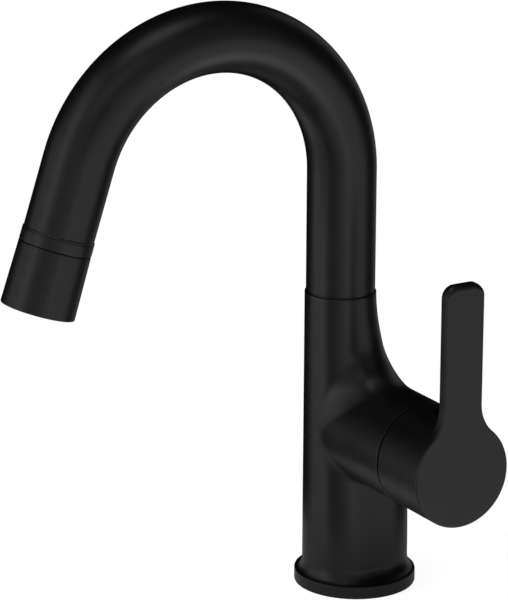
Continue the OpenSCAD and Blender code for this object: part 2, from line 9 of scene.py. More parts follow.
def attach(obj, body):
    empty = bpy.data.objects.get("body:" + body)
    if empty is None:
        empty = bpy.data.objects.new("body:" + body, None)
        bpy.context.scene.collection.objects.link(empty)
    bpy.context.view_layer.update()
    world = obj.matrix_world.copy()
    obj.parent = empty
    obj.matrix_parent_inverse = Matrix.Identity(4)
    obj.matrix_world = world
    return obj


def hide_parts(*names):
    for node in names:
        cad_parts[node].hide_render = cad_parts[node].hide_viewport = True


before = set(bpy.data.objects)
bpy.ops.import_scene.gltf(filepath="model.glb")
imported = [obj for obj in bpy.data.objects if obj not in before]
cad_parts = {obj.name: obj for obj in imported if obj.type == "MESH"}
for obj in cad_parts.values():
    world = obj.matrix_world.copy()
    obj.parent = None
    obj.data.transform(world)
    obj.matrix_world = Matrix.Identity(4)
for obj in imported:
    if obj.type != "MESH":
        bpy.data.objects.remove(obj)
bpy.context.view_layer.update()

# Mixer body: one brass casting with its foot, its oval column and the round housing for the
# cartridge. The foundry blends the housing into the column with a large hollow curve on top and a
# tight one below. It is machined at the foot, the housing's end and the neck, and then coated.
MM = 0.001
body = {"foot_r": 25, "foot_h": 5.2, "cove_h": 5.6, "column_r": 18.1, "column_offset": 4.3,
        "neck_r": 14.5, "neck_z": 126.1, "spout_y": -8.4, "back_run": 73, "side_run": 110,
        "housing_z": 69.1, "housing_r": 21.5, "housing_end": 49.1, "bore_r": 19.05, "cast_end": 56,
        "hollow_top": 16.2, "hollow_under": 1.5, "edge": 0.3}


def ease(t):
    """From 0 to 1 with a level start and end."""
    u = np.clip(t, 0, 1)
    return u * u * (3 - 2 * u)


def column_gap(x, y, z):
    """Distance from the column's wall, and the part of its direction that runs front to back."""
    side = ease((body["neck_z"] - z) / body["side_run"])
    back = ease((body["neck_z"] - z) / body["back_run"])
    r = body["neck_r"] + (body["column_r"] - body["neck_r"]) * side
    front_y = body["spout_y"] + (-body["spout_y"] - body["column_offset"]) * side
    back_y = body["spout_y"] + (-body["spout_y"] + body["column_offset"]) * back
    back_y = np.maximum(front_y, back_y)
    dy = y - np.clip(y, front_y, back_y)
    reach = np.hypot(x, dy)
    return reach - r, dy / np.maximum(reach, 1e-9)


def body_gap(x, y, z):
    """Distance from the casting's wall. Where the column and the housing meet, a hollow joins them.
    It is tightest below, widest on top, and fades out where the two walls face the same way."""
    column, lean = column_gap(x, y, z)
    reach = np.hypot(y, z - body["housing_z"])
    housing = reach - body["housing_r"]
    facing = np.maximum(0, lean * y / np.maximum(reach, 1e-9))
    lift = (z - body["housing_z"]) / np.maximum(reach, 1e-9)
    size = body["hollow_under"] + (body["hollow_top"] - body["hollow_under"]) * (1 + lift) / 2
    hollow = np.maximum(0.01, size * (1 - facing))
    both = np.maximum(hollow, np.minimum(column, housing)) - np.hypot(
        np.maximum(hollow - column, 0), np.maximum(hollow - housing, 0))
    return np.where(x <= 0, column, np.maximum(both, x - body["cast_end"]))


def reach_out(gap, start, ray, far):
    """How far along each ray the wall lies. The stretch that holds it is halved 34 times."""
    near = np.zeros_like(far)
    for _ in range(34):
        mid = (near + far) / 2
        inside = gap(*(start + ray * mid[:, None]).T) < 0
        near, far = np.where(inside, mid, near), np.where(inside, far, mid)
    return near


def mesh_object(name, points, faces, unit=MM):
    mesh = bpy.data.meshes.new(name)
    mesh.from_pydata([tuple(float(c) * unit for c in p) for p in points], [], faces)
    mesh.update()
    made = bpy.data.objects.new(name, mesh)
    bpy.context.scene.collection.objects.link(made)
    return made


def tube_faces(rings, sides):
    faces = []
    for low in range(0, (rings - 1) * sides, sides):
        for i in range(sides):
            j = (i + 1) % sides
            faces.append((low + i, low + j, low + sides + j, low + sides + i))
    return faces


def finish_mesh(made):
    """Smooth shading that keeps the edges of 32 degrees and more, with flat faces left flat."""
    bm = bmesh.new()
    bm.from_mesh(made.data)
    bmesh.ops.recalc_face_normals(bm, faces=bm.faces)
    bm.to_mesh(made.data)
    bm.free()
    made.data.polygons.foreach_set("use_smooth", [True] * len(made.data.polygons))
    made.data.set_sharp_from_angle(angle=math.radians(32))
    flat = made.modifiers.new("flat faces stay flat", "WEIGHTED_NORMAL")
    flat.keep_sharp = True
    return made


SIDES = 288
angles = np.arange(SIDES) * 2 * math.pi / SIDES
around = np.stack([np.cos(angles), np.sin(angles), np.zeros(SIDES)], 1)


def column_wall(z):
    """The column's radius all round at one height. No wall lies beyond 40 mm."""
    start = np.tile([0.0, 0.0, z], (SIDES, 1))
    return reach_out(lambda *p: column_gap(*p)[0], start, around, np.full(SIDES, 40.0))


def body_ring(z):
    """One ring of the skin: rays from the housing's middle through the column's wall are drawn on
    to the casting's wall, up to 9 times as far."""
    middle = np.array([0.0, 0.0, body["housing_z"]])
    ray = around * column_wall(z)[:, None] + [0, 0, z] - middle
    far = np.full(SIDES, 9.0)
    return middle + ray * reach_out(body_gap, np.tile(middle, (SIDES, 1)), ray, far)[:, None]


def foot_ring(r, z):
    return around * r + [0, 0, z]


# The foot's rim has its edges broken, and a quarter-round cove leads up from it to the column.
foot_r, foot_h, cove_h = body["foot_r"], body["foot_h"], body["cove_h"]
cove_top = foot_h + cove_h
cove_wall = column_wall(cove_top)
body_rings = [foot_ring(foot_r - 0.35, 0), foot_ring(foot_r - 0.1, 0.12), foot_ring(foot_r, 0.4),
              foot_ring(foot_r, foot_h - 0.4), foot_ring(foot_r - 0.12, foot_h - 0.1)]
for turn in np.radians(np.linspace(0, 90, 16)):
    r = cove_wall + (foot_r - 0.4 - cove_wall) * (1 - math.sin(turn))
    body_rings.append(around * r[:, None] + [0, 0, foot_h + cove_h * (1 - math.cos(turn))])
# The rings lie closest from 45 to 94 mm, where the housing joins the column.
neck_z, edge = body["neck_z"], body["edge"]
for z in [*np.linspace(cove_top + 2, 44, 14), *np.linspace(45, 94, 110),
          *np.linspace(95, neck_z - edge, 30)]:
    body_rings.append(body_ring(z))

casting = mesh_object("body_casting", np.concatenate(body_rings),
                      tube_faces(len(body_rings), SIDES))
# The housing's end is faced square, its edges are broken, and 7 mm of its bore are drawn.
bm = bmesh.new()
bm.from_mesh(casting.data)
cut = bmesh.ops.bisect_plane(bm, geom=bm.verts[:] + bm.edges[:] + bm.faces[:], dist=1e-7,
                             plane_co=((body["housing_end"] - edge) * MM, 0, 0), plane_no=(1, 0, 0),
                             clear_outer=True)
mouth = [e for e in cut["geom_cut"] if isinstance(e, bmesh.types.BMEdge)]


def step_in(edges, place):
    """Draws an open edge on to its next ring. place gives each point's new position."""
    out = bmesh.ops.extrude_edge_only(bm, edges=edges)["geom"]
    for v in (g for g in out if isinstance(g, bmesh.types.BMVert)):
        v.co = Vector(place(v.co / MM)) * MM
    return [g for g in out if isinstance(g, bmesh.types.BMEdge)]


def housing_point(x, r):
    def place(p):
        a = math.atan2(p.z - body["housing_z"], p.y)
        return x, r * math.cos(a), body["housing_z"] + r * math.sin(a)
    return place


end, bore = body["housing_end"], body["bore_r"]
for x, r in [(end - 0.1, body["housing_r"] - 0.1), (end, body["housing_r"] - edge),
             (end, bore + edge), (end - edge, bore), (end - 7, bore)]:
    mouth = step_in(mouth, housing_point(x, r))


def disc_point(cx, cy, r, z):
    def place(p):
        a = math.atan2(p.y - cy, p.x - cx)
        return cx + r * math.cos(a), cy + r * math.sin(a), z
    return place


def open_edges_at(z):
    return [e for e in bm.edges
            if e.is_boundary and all(abs(v.co.z / MM - z) < 0.01 for v in e.verts)]


# The neck is faced flat and bored, and the foot has a groove for the sealing ring.
neck = open_edges_at(neck_z - edge)
neck_bore = 10
for r, z in [(body["neck_r"] - 0.1, -0.1), (body["neck_r"] - edge, 0),
             (neck_bore, 0), (neck_bore, -4)]:
    neck = step_in(neck, disc_point(0, body["spout_y"], r, neck_z + z))
foot = open_edges_at(0)
seal_out, seal_in, seal_deep = 23.45, 20.55, 2.25
for r, z in [(seal_out, 0), (seal_out, seal_deep), (seal_in, seal_deep), (seal_in, 0)]:
    foot = step_in(foot, disc_point(0, 0, r, z))


def flat_loop(points, z=0.0):
    rim = [bm.verts.new(Vector((x, y, z)) * MM) for x, y in points]
    return [bm.edges.new((rim[i], rim[(i + 1) % len(rim)])) for i in range(len(rim))]


def ring_points(r, count, cx=0.0, cy=0.0, first=0.0):
    return [(cx + r * math.cos(a + first), cy + r * math.sin(a + first))
            for a in np.linspace(0, 2 * math.pi, count, endpoint=False)]


# Two M10 holes take the hoses, and an M8 hole takes the stud. A thread is 0.54 of its pitch deep
# and stops about 2 mm before its hole does.
tapped = [(-9, -8.5, 4.5, 14, 1), (-9, 8.5, 4.5, 14, 1), (10, 0, 3.4, 18, 1.25)]
rims = [flat_loop(ring_points(r, 48, cx, cy)) for cx, cy, r, _, _ in tapped]
bmesh.ops.triangle_fill(bm, use_beauty=True, edges=foot + [e for rim in rims for e in rim])
for loop, (cx, cy, r, depth, pitch) in zip(rims, tapped):
    for k in range(1, int(2 * (depth - 2) / pitch)):
        loop = step_in(loop, disc_point(cx, cy, r + (0.54 * pitch if k % 2 else 0), k * pitch / 2))
    loop = step_in(loop, disc_point(cx, cy, r, depth))
    bmesh.ops.contextual_create(bm, geom=loop)
bm.to_mesh(casting.data)
bm.free()
finish_mesh(casting)


def linear(code):
    """An sRGB hex colour as the linear colour that a shader takes."""
    parts = [int(code[i:i + 2], 16) / 255 for i in (1, 3, 5)]
    return [*(c / 12.92 if c <= 0.04045 else ((c + 0.055) / 1.055) ** 2.4 for c in parts), 1]


def add(tree, kind, settings=None, **links):
    """Adds one node, sets its properties, sockets and colour stops, and joins its inputs. A link
    names its socket with _ for a space, or gives the socket's number after a _."""
    node = tree.nodes.new("ShaderNode" + kind)
    for key, value in (settings or {}).items():
        if key == "stops":
            for stop, (position, colour) in zip(node.color_ramp.elements, value):
                stop.position, stop.color = position, colour
        elif isinstance(key, int) or key in node.inputs.keys():
            node.inputs[key].default_value = value
        else:
            setattr(node, key, value)
    for key, source in links.items():
        socket = node.inputs[int(key[1:])] if key[0] == "_" else node.inputs[key.replace("_", " ")]
        tree.links.new(source, socket)
    return node


def start(name):
    material = bpy.data.materials.new(name)
    material.use_nodes = True
    tree = material.node_tree
    tree.nodes.clear()
    return material, tree


# Matt black coating: black pigment in a clear binder, baked on to the metal. The pigment swallows
# nearly all light, and the skin's fine grit spreads what is left into a broad, dull, slightly
# uneven shine. The grit is 0.3 mm across, coarser than the real one so that it shows.
matt_black, tree = start("matt black baked coating")
place = add(tree, "TexCoord").outputs["Object"]
cloud = add(tree, "TexNoise", {"Scale": 1 / (9 * MM), "Detail": 3}, Vector=place)
grit = add(tree, "TexNoise", {"Scale": 1 / (0.3 * MM), "Detail": 2}, Vector=place)
tone = add(tree, "ValToRGB", {"stops": [(0.3, linear("#101011")), (0.7, linear("#151516"))]},
           _0=cloud.outputs[0])
dull = add(tree, "MapRange", {"From Min": 0.3, "From Max": 0.7, "To Min": 0.36, "To Max": 0.4},
           Value=cloud.outputs[0])
skin = add(tree, "Bump", {"Strength": 0.3, "Distance": 0.01 * MM}, Height=grit.outputs[0])
coat = add(tree, "BsdfPrincipled", {"IOR": 1.5}, Base_Color=tone.outputs[0],
           Roughness=dull.outputs[0], Normal=skin.outputs[0])
add(tree, "OutputMaterial", Surface=coat.outputs[0])


def dress(piece, material, body_name, node):
    """Lays a material on a piece made here, which moves with its body in place of its solid."""
    piece.data.materials.append(material)
    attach(piece, body_name)
    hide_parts(node)


dress(casting, matt_black, "mixer", "mixer_body")


def give(material, *names):
    """Lays a material on pieces that are shown as their solids are."""
    for name in names:
        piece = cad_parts[name]
        piece.data.materials.clear()
        piece.data.materials.append(material)


# Sealing ring: moulded nitrile rubber, pressed into the groove in the foot so that no water gets
# under it. Rubber is dull and soot black, with the fine pits that the mould leaves, 0.2 mm apart.
nitrile, tree = start("moulded nitrile rubber")
place = add(tree, "TexCoord").outputs["Object"]
pits = add(tree, "TexNoise", {"Scale": 1 / (0.2 * MM), "Detail": 4}, Vector=place)
tone = add(tree, "ValToRGB", {"stops": [(0.3, linear("#151515")), (0.7, linear("#1f1f1f"))]},
           _0=pits.outputs[0])
dull = add(tree, "MapRange", {"To Min": 0.58, "To Max": 0.74}, Value=pits.outputs[0])
skin = add(tree, "Bump", {"Strength": 0.4, "Distance": 0.03 * MM}, Height=pits.outputs[0])
rubber = add(tree, "BsdfPrincipled", {"IOR": 1.52}, Base_Color=tone.outputs[0],
             Roughness=dull.outputs[0], Normal=skin.outputs[0])
add(tree, "OutputMaterial", Surface=rubber.outputs[0])
give(nitrile, "base_gasket")


# Swivel: a turned brass nipple is screwed into the neck, and the spout's brass foot turns on it.
# Bare turned brass is yellow and shiny, with fine tool marks square to the axis, 0.3 mm apart.
def turned_brass(name, axis):
    material, tree = start(name)
    split = add(tree, "SeparateXYZ", _0=add(tree, "TexCoord").outputs["Object"])
    marks = add(tree, "TexNoise", {"noise_dimensions": "1D", "Scale": 1 / (0.3 * MM), "Detail": 4},
                W=split.outputs[axis])
    tone = add(tree, "ValToRGB", {"stops": [(0.3, linear("#a8894d")), (0.7, linear("#c2a366"))]},
               _0=marks.outputs[0])
    dull = add(tree, "MapRange", {"To Min": 0.2, "To Max": 0.36}, Value=marks.outputs[0])
    groove = add(tree, "Bump", {"Strength": 0.5, "Distance": 0.02 * MM}, Height=marks.outputs[0])
    metal = add(tree, "BsdfPrincipled", {"Metallic": 1}, Base_Color=tone.outputs[0],
                Roughness=dull.outputs[0], Normal=groove.outputs[0])
    add(tree, "OutputMaterial", Surface=metal.outputs[0])
    return material


upright_brass = turned_brass("turned brass, upright axis", "Z")
give(upright_brass, "swivel_nipple", "spout_foot")

# Spout's rubber rings: two rings moulded in nitrile lie in the nipple's grooves and keep the
# turning joint tight. They are as dull and black as the sealing ring.
give(nitrile, "spout_o_rings")

# Stop pin and snap ring: drawn stainless steel wire, cut and bent to shape. It is bright, with
# faint streaks 0.4 mm apart along the way that it was drawn.
drawn_steel, tree = start("drawn stainless steel")
place = add(tree, "TexCoord").outputs["Object"]
along = add(tree, "Mapping", {"Scale": (1, 0.08, 1)}, Vector=place)
streaks = add(tree, "TexNoise", {"Scale": 1 / (0.4 * MM), "Detail": 3}, Vector=along.outputs[0])
tone = add(tree, "ValToRGB", {"stops": [(0.3, linear("#b9b7b3")), (0.7, linear("#cfcdc9"))]},
           _0=streaks.outputs[0])
dull = add(tree, "MapRange", {"To Min": 0.16, "To Max": 0.3}, Value=streaks.outputs[0])
steel = add(tree, "BsdfPrincipled", {"Metallic": 1}, Base_Color=tone.outputs[0],
            Roughness=dull.outputs[0])
add(tree, "OutputMaterial", Surface=steel.outputs[0])
give(drawn_steel, "stop_pin", "spout_clip")


# Slide ring: moulded acetal, coloured black, between the neck and the spout, where its edge shows
# as a dark line. Acetal is smooth and waxy, with slow clouds from the mould 3 mm across.
def moulded_acetal(name, dark, light):
    material, tree = start(name)
    place = add(tree, "TexCoord").outputs["Object"]
    cloud = add(tree, "TexNoise", {"Scale": 1 / (3 * MM), "Detail": 5}, Vector=place)
    tone = add(tree, "ValToRGB", {"stops": [(0.3, linear(dark)), (0.7, linear(light))]},
               _0=cloud.outputs[0])
    dull = add(tree, "MapRange", {"To Min": 0.34, "To Max": 0.48}, Value=cloud.outputs[0])
    skin = add(tree, "Bump", {"Strength": 0.15, "Distance": 0.05 * MM}, Height=cloud.outputs[0])
    plastic = add(tree, "BsdfPrincipled", {"IOR": 1.48}, Base_Color=tone.outputs[0],
                  Roughness=dull.outputs[0], Normal=skin.outputs[0])
    add(tree, "OutputMaterial", Surface=plastic.outputs[0])
    return material


black_acetal = moulded_acetal("moulded black acetal", "#0e0e0e", "#141414")
give(black_acetal, "slide_ring")

# Spout: a brass tube of 28 mm, bent round a former into a gooseneck and coated with the body. Its
# foot stands on the thin slide ring, which shows as a dark line.
spout = {"r": 14, "wall": 1.2, "foot": 126.75, "bend_z": 176.4, "bend_r": 60.8, "angle": 161.8,
         "run": 28.9}
rise, bend_angle = spout["bend_z"] - spout["foot"], math.radians(spout["angle"])
bend_y, bend_length = body["spout_y"] - spout["bend_r"], spout["bend_r"] * bend_angle
spout_length = rise + bend_length + spout["run"]


def along_spout(s):
    """Centre, outward direction and way forward of the tube, s mm after its foot."""
    a = min(max((s - rise) / spout["bend_r"], 0), bend_angle)
    out = np.array([0, math.cos(a), math.sin(a)])
    way = np.array([0, -math.sin(a), math.cos(a)])
    centre = np.array([0, bend_y, spout["bend_z"]]) + spout["bend_r"] * out
    centre = centre + way * (s - rise if s < rise else max(s - rise - bend_length, 0))
    return centre, out, way


def turned(name, profile, sides=160):
    """A piece turned about the spout's centre line. profile holds distance along it and radius."""
    turn = np.arange(sides) * 2 * math.pi / sides
    points = []
    for s, r in profile:
        centre, out, _ = along_spout(s)
        points += [centre + r * (np.array([math.cos(a), 0, 0]) + math.sin(a) * out) for a in turn]
    return finish_mesh(mesh_object(name, points, tube_faces(len(profile), sides)))


inner, outer = spout["r"] - spout["wall"], spout["r"]
tube = turned("spout_bent_tube", [
    (12, inner), (0.2, inner), (0, inner + 0.2), (0, outer - 0.3), (0.1, outer - 0.1), (0.3, outer),
    *((s, outer) for s in np.linspace(2, spout_length - 1, 190)), (spout_length - 0.15, outer),
    (spout_length, outer - 0.12), (spout_length, inner), (spout_length - 6, inner)])
dress(tube, matt_black, "spout", "spout_tube")

# Outlet collar: turned brass, soldered to the tube's end and coated with it. A chamfer leads up to
# it and catches the light, and a fine turned groove runs right below.
collar_r, collar_l = 14.35, 5.5
plug_r, thread_r, collar_bore, groove_r = inner - 0.06, 12.7, 10.4, collar_r - 0.4
s0 = spout_length
collar_end = s0 + collar_l
collar = turned("outlet_collar", [
    (s0 - 5, plug_r), (s0 - 0.2, plug_r), (s0 - 0.2, outer - 0.01), (s0 + 0.17, collar_r),
    (s0 + 0.5, collar_r), (s0 + 0.55, collar_r - 0.05), (s0 + 0.59, groove_r),
    (s0 + 0.93, groove_r), (s0 + 0.97, collar_r - 0.05), (s0 + 1.05, collar_r), (s0 + 3, collar_r),
    (collar_end - 0.3, collar_r), (collar_end - 0.1, collar_r - 0.1), (collar_end, collar_r - 0.3),
    (collar_end, thread_r), (collar_end + 5, thread_r), (collar_end + 5.5, thread_r - 0.4),
    (collar_end + 5.5, collar_bore), (s0 - 5, collar_bore), (s0 - 5, plug_r)])
dress(collar, matt_black, "spout", "outlet_ring")

# Outlet sleeve: turned brass, coated, screwed over the collar's thread. It widens by 0.9 mm towards
# its mouth, where the edge is rounded, and is bored out to hold the aerator.
mouth_r, sleeve_l, lip, seat_r, seat_deep, sleeve_bore = 14.8, 25.4, 0.5, 12.08, 13.6, 10.3
socket_r = thread_r + 0.1
s1 = collar_end + 0.2
sleeve_end = s1 + sleeve_l
rounded = [(sleeve_end - lip * (1 - math.sin(a)), mouth_r - lip * (1 - math.cos(a)))
           for a in np.linspace(0, math.pi / 2, 7)]
sleeve = turned("outlet_sleeve_turned", [
    (s1 + 0.2, socket_r), (s1, socket_r + 0.2), (s1, collar_r - 0.3), (s1 + 0.1, collar_r - 0.1),
    (s1 + 0.3, collar_r), *((s1 + sleeve_l * t, collar_r + (mouth_r - collar_r) * t)
                            for t in np.linspace(0.05, 0.95, 12)), *rounded,
    (sleeve_end, 12.5), (sleeve_end - 0.3, seat_r), (sleeve_end - seat_deep, seat_r),
    (sleeve_end - seat_deep, sleeve_bore), (s1 + 8, sleeve_bore), (s1 + 7.4, socket_r),
    (s1 + 0.2, socket_r)])
dress(sleeve, matt_black, "spout", "outlet_sleeve")

# Aerator insert: pale moulded acetal, pushed into the sleeve. Its face is a honeycomb of six-sided
# cells 2.6 mm apart, which straightens the stream. Its end lies 1.2 mm inside the mouth.
insert_r, insert_l, insert_in, cell, cell_r, cell_deep, cells_r = 11.95, 11, 1.2, 2.6, 1.16, 4, 8.65
bm = bmesh.new()
cells = []
for row in range(-3, 4):
    for k in range(-3, 4):
        x, y = (k + (abs(row) % 2) / 2) * cell, row * cell * math.sin(math.radians(60))
        if math.hypot(x, y) < cells_r:
            cells.append(flat_loop(ring_points(cell_r, 6, x, y, math.pi / 6)))
rim = flat_loop(ring_points(insert_r - 0.3, 96))
bmesh.ops.triangle_fill(bm, use_beauty=True, edges=rim + [e for loop in cells for e in loop])
for loop in cells:
    loop = step_in(loop, lambda p: (p.x, p.y, -cell_deep))
    bmesh.ops.contextual_create(bm, geom=loop)
for r, z in [(insert_r - 0.09, -0.09), (insert_r, -0.3), (insert_r, -insert_l)]:
    rim = step_in(rim, disc_point(0, 0, r, z))
bmesh.ops.contextual_create(bm, geom=rim)
centre, out, way = along_spout(sleeve_end - insert_in)
bm.transform(Matrix([[1, out[0], way[0], centre[0] * MM], [0, out[1], way[1], centre[1] * MM],
                     [0, out[2], way[2], centre[2] * MM], [0, 0, 0, 1]]))


def take_mesh(name):
    """Turns the mesh in hand into an object, with its faces turned outwards."""
    bmesh.ops.recalc_face_normals(bm, faces=bm.faces)
    mesh = bpy.data.meshes.new(name)
    bm.to_mesh(mesh)
    bm.free()
    made = bpy.data.objects.new(name, mesh)
    bpy.context.scene.collection.objects.link(made)
    return made


insert = finish_mesh(take_mesh("aerator_insert"))
pale_acetal = moulded_acetal("moulded pale acetal", "#cfcdc6", "#dad8d2")
dress(insert, pale_acetal, "spout", "aerator_body")

# Aerator's seal and screen: the flat seal is moulded nitrile rubber, squeezed between the sleeve's
# ledge and the insert. The screen is a disc of bright steel, punched with holes, in the insert.
give(nitrile, "aerator_seal")
give(drawn_steel, "aerator_screen")

# Cartridge shell and base: moulded nylon filled with short glass fibres. It is pale grey and dull,
# and the fibres show as short flecks about 0.5 mm long.
filled_nylon, tree = start("moulded glass-filled nylon")
place = add(tree, "TexCoord").outputs["Object"]
along = add(tree, "Mapping", {"Scale": (0.25, 1, 1)}, Vector=place)
flecks = add(tree, "TexNoise", {"Scale": 1 / (0.12 * MM), "Detail": 3}, Vector=along.outputs[0])
tone = add(tree, "ValToRGB", {"stops": [(0.35, linear("#8f9192")), (0.65, linear("#a6a8a9"))]},
           _0=flecks.outputs[0])
dull = add(tree, "MapRange", {"To Min": 0.45, "To Max": 0.62}, Value=flecks.outputs[0])
skin = add(tree, "Bump", {"Strength": 0.3, "Distance": 0.02 * MM}, Height=flecks.outputs[0])
nylon = add(tree, "BsdfPrincipled", {"IOR": 1.53}, Base_Color=tone.outputs[0],
            Roughness=dull.outputs[0], Normal=skin.outputs[0])
add(tree, "OutputMaterial", Surface=nylon.outputs[0])
give(filled_nylon, "cartridge_base", "cartridge_housing")

# Ceramic discs: alumina, pressed, fired and lapped flat until the two faces seal against each
# other. The fired clay is off-white and glossy, with faint grains 0.4 mm across.
lapped_alumina, tree = start("lapped alumina ceramic")
place = add(tree, "TexCoord").outputs["Object"]
grains = add(tree, "TexVoronoi", {"Scale": 1 / (0.4 * MM)}, Vector=place)
tone = add(tree, "ValToRGB", {"stops": [(0.0, linear("#ece9e1")), (0.8, linear("#e0ddd4"))]},
           _0=grains.outputs["Distance"])
dull = add(tree, "MapRange", {"To Min": 0.08, "To Max": 0.2}, Value=grains.outputs["Distance"])
ceramic = add(tree, "BsdfPrincipled", {"IOR": 1.76}, Base_Color=tone.outputs[0],
              Roughness=dull.outputs[0])
add(tree, "OutputMaterial", Surface=ceramic.outputs[0])
give(lapped_alumina, "fixed_disc", "moving_disc")

# Disc driver and stem carrier: pale moulded acetal, which slides well on the ceramic and in the
# shell. The port seals and the carrier's ring are rubber, and the pin is drawn steel.
give(pale_acetal, "disc_driver", "stem_carrier")
give(nitrile, "port_seals", "carrier_seal")
give(drawn_steel, "pivot_pin")

# Lever stem and retaining nut: brass turned about the lever's axis. The nut holds the cartridge
# down in the housing, and the stem's square end carries the lever.
level_brass = turned_brass("turned brass, level axis", "X")
give(level_brass, "lever_stem", "retaining_nut")

# Cover cap: a thin brass dome over the nut, coated like the body. It shows only when the lever is
# tilted.
give(matt_black, "housing_cap")

# Lever: a zinc casting, a round hub with a flat blade that grows out of its face in hollow curves.
# The front edge is rounded by 0.8 mm, and by 2.4 mm over the top. The back is hollowed as a ball
# about the stem's pivot, to clear the housing when the lever tilts.
lever = {"face": 78, "thick": 3.8, "half": 8.85, "top": 78.2, "corner": 5, "hollow": 16.3,
         "edge": 0.8, "top_edge": 1.6, "top_run": 5, "pivot": 40, "hollow_r": 23.7, "stem_r": 7.2}
hub_r, hub_z = body["housing_r"], body["housing_z"]
blade_half, blade_top, corner_r = lever["half"], lever["top"], lever["corner"]
reach = blade_half + lever["hollow"]
hollow_z = math.sqrt((hub_r + lever["hollow"]) ** 2 - reach ** 2)
low = math.atan2(hollow_z, reach)
side = [(hub_r * math.cos(a), hub_r * math.sin(a)) for a in np.linspace(-math.pi / 2, low, 90)]
curve = [(reach - lever["hollow"] * math.cos(a), hollow_z - lever["hollow"] * math.sin(a))
         for a in np.linspace(low, 0, 30)[1:]]
straight = [(blade_half, z) for z in np.linspace(hollow_z, blade_top - corner_r, 20)[1:-1]]
corner = [(blade_half - corner_r * (1 - math.cos(a)), blade_top - corner_r * (1 - math.sin(a)))
          for a in np.linspace(0, math.pi / 2, 20)]
half_line = side + curve + straight + corner
outline = half_line + [(-y, z) for y, z in half_line[::-1] if y > 1e-6]

bm = bmesh.new()


def lever_ring(x, points):
    """One ring of the casting. x is one place along the lever's axis, or one for each point."""
    return [bm.verts.new(Vector((d, y, hub_z + z)) * MM)
            for d, (y, z) in zip(np.broadcast_to(x, len(points)), points)]


def inset(points, d):
    """The outline drawn in by d, square to itself."""
    p = np.array(points)
    t = np.roll(p, -1, 0) - np.roll(p, 1, 0)
    t = t / np.linalg.norm(t, axis=1)[:, None]
    return p + d * np.stack([-t[:, 1], t[:, 0]], 1)


def bridge(a, b):
    for i in range(len(a)):
        bm.faces.new((a[i], a[(i + 1) % len(a)], b[(i + 1) % len(b)], b[i]))


face_x, back_x = lever["face"], lever["face"] - lever["thick"]
near_top = ease((np.array(outline)[:, 1] - blade_top + lever["top_run"]) / lever["top_run"])
round_r = lever["edge"] + lever["top_edge"] * near_top
rings = [lever_ring(face_x - round_r * (1 - math.sin(a)),
                    inset(outline, (round_r * (1 - math.cos(a)))[:, None]))
         for a in np.linspace(math.pi / 2, 0, 9)]
rings.append(lever_ring(back_x, outline))
bm.faces.new(rings[0])
for a, b in zip(rings, rings[1:]):
    bridge(a, b)
# Above the hub the blade's back is one flat face, and the hub's round runs on behind it.
back = rings[-1]
first = len(side) - 1
last = len(outline) - len(side) + 1
arc = [(hub_r * math.cos(a), hub_r * math.sin(a))
       for a in np.linspace(low, math.pi - low, 60)[1:-1]]
arc_ring = lever_ring(back_x, arc)
bm.faces.new(back[first:last + 1] + arc_ring[::-1])
hub_loop = back[:first + 1] + arc_ring + back[last:]
hub_points = side + arc + [(-y, z) for y, z in side[::-1] if y > 1e-6]


def hub_ring(x, r):
    return lever_ring(x, [(y * r / hub_r, z * r / hub_r) for y, z in hub_points])


def ball_x(r):
    """Where the ball-shaped hollow lies along the axis, at radius r."""
    return lever["pivot"] + math.sqrt(lever["hollow_r"] ** 2 - r ** 2)


previous = hub_loop
for x, r in [(60, hub_r), (ball_x(hub_r) + 0.35, hub_r), (ball_x(hub_r) + 0.1, hub_r - 0.1),
             *((ball_x(r), r) for r in np.linspace(hub_r - 0.3, lever["stem_r"], 24))]:
    ring = hub_ring(x, r)
    bridge(previous, ring)
    previous = ring
bm.faces.new(previous[::-1])
handle = take_mesh("lever_casting")

# The hole for the grub screw is drilled through the crown of the hub, and the edges are broken.
hole_x, hole_r, hole_floor, drill_top = 61.01, 2.5, 15.5, 26
bm = bmesh.new()
hole_rim = flat_loop([(hole_x + x, y) for x, y in ring_points(hole_r, 48)], hub_z + hole_floor)
bmesh.ops.contextual_create(bm, geom=hole_rim)
hole_rim = step_in(hole_rim, lambda p: (p.x, p.y, hub_z + drill_top))
bmesh.ops.contextual_create(bm, geom=hole_rim)
drill = take_mesh("drill")
drilled = handle.modifiers.new("grub screw's hole", "BOOLEAN")
drilled.object, drilled.solver = drill, "EXACT"
round_over = handle.modifiers.new("broken edges", "BEVEL")
round_over.width, round_over.segments = 0.3 * MM, 3
round_over.limit_method, round_over.angle_limit = "ANGLE", math.radians(50)
graph = bpy.context.evaluated_depsgraph_get()
worked = bpy.data.meshes.new_from_object(handle.evaluated_get(graph))
handle.modifiers.clear()
handle.data = worked
bpy.data.objects.remove(drill)
finish_mesh(handle)
dress(handle, matt_black, "lever", "lever_handle")

# Grub screw and its plug: the steel screw clamps the lever to the stem's square, and a soft black
# plastic plug closes the hole over it, 1 mm below the hub's crown.
give(drawn_steel, "grub_screw")
give(black_acetal, "screw_plug")

# Floor and studio: the tap stands on a small round white table in a white room. Black drapes, which
# the camera looks through, hang round it, so that the coating mirrors the softboxes and the table.
table_r = 90
bm = bmesh.new()
table_edge = flat_loop(ring_points(table_r, 160), -0.2)
bmesh.ops.contextual_create(bm, geom=table_edge)
for r, z in [(table_r + 1, -0.6), (table_r + 1.4, -1.6), (table_r + 1.4, -16)]:
    table_edge = step_in(table_edge, disc_point(0, 0, r, z))
bmesh.ops.contextual_create(bm, geom=table_edge)
table = take_mesh("table")

